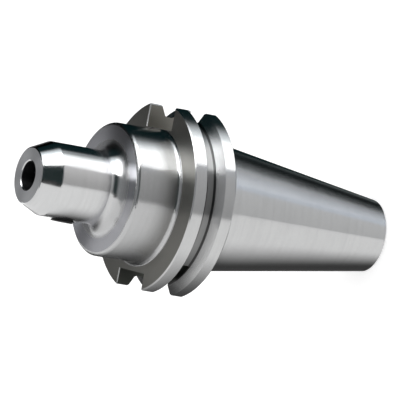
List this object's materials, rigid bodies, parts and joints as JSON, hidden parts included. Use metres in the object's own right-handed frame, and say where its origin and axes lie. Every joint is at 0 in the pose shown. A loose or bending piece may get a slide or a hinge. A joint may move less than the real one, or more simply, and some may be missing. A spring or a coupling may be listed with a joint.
{
  "type": "endmill holder",
  "caption": "Steep-taper milling tool holder with a grooved drive flange, a stepped nose with a straight tool bore, and a side-lock set screw.",
  "frame": {"origin": "on the spindle axis at the gauge line, where the shank's taper is 44.45 mm across", "axes": "+Z along the spindle axis towards the nose; +Y towards the deeper drive slot; the set screw points along -Y"},
  "size_m": [0.0634, 0.061, 0.1318],
  "materials": {
    "ground_steel": "ground and turned, satin",
    "black_oxide_steel": "black oxide, slightly oily"
  },
  "bodies": {
    "holder": {"holder_body": "ground_steel"},
    "screw": {"set_screw": "black_oxide_steel"}
  },
  "joints": [
    {"name": "set_screw_travel", "type": "slide", "parent": "holder", "child": "screw", "axis": [0, -1, 0], "range_m": [-0.0015, 0.006]}
  ]
}
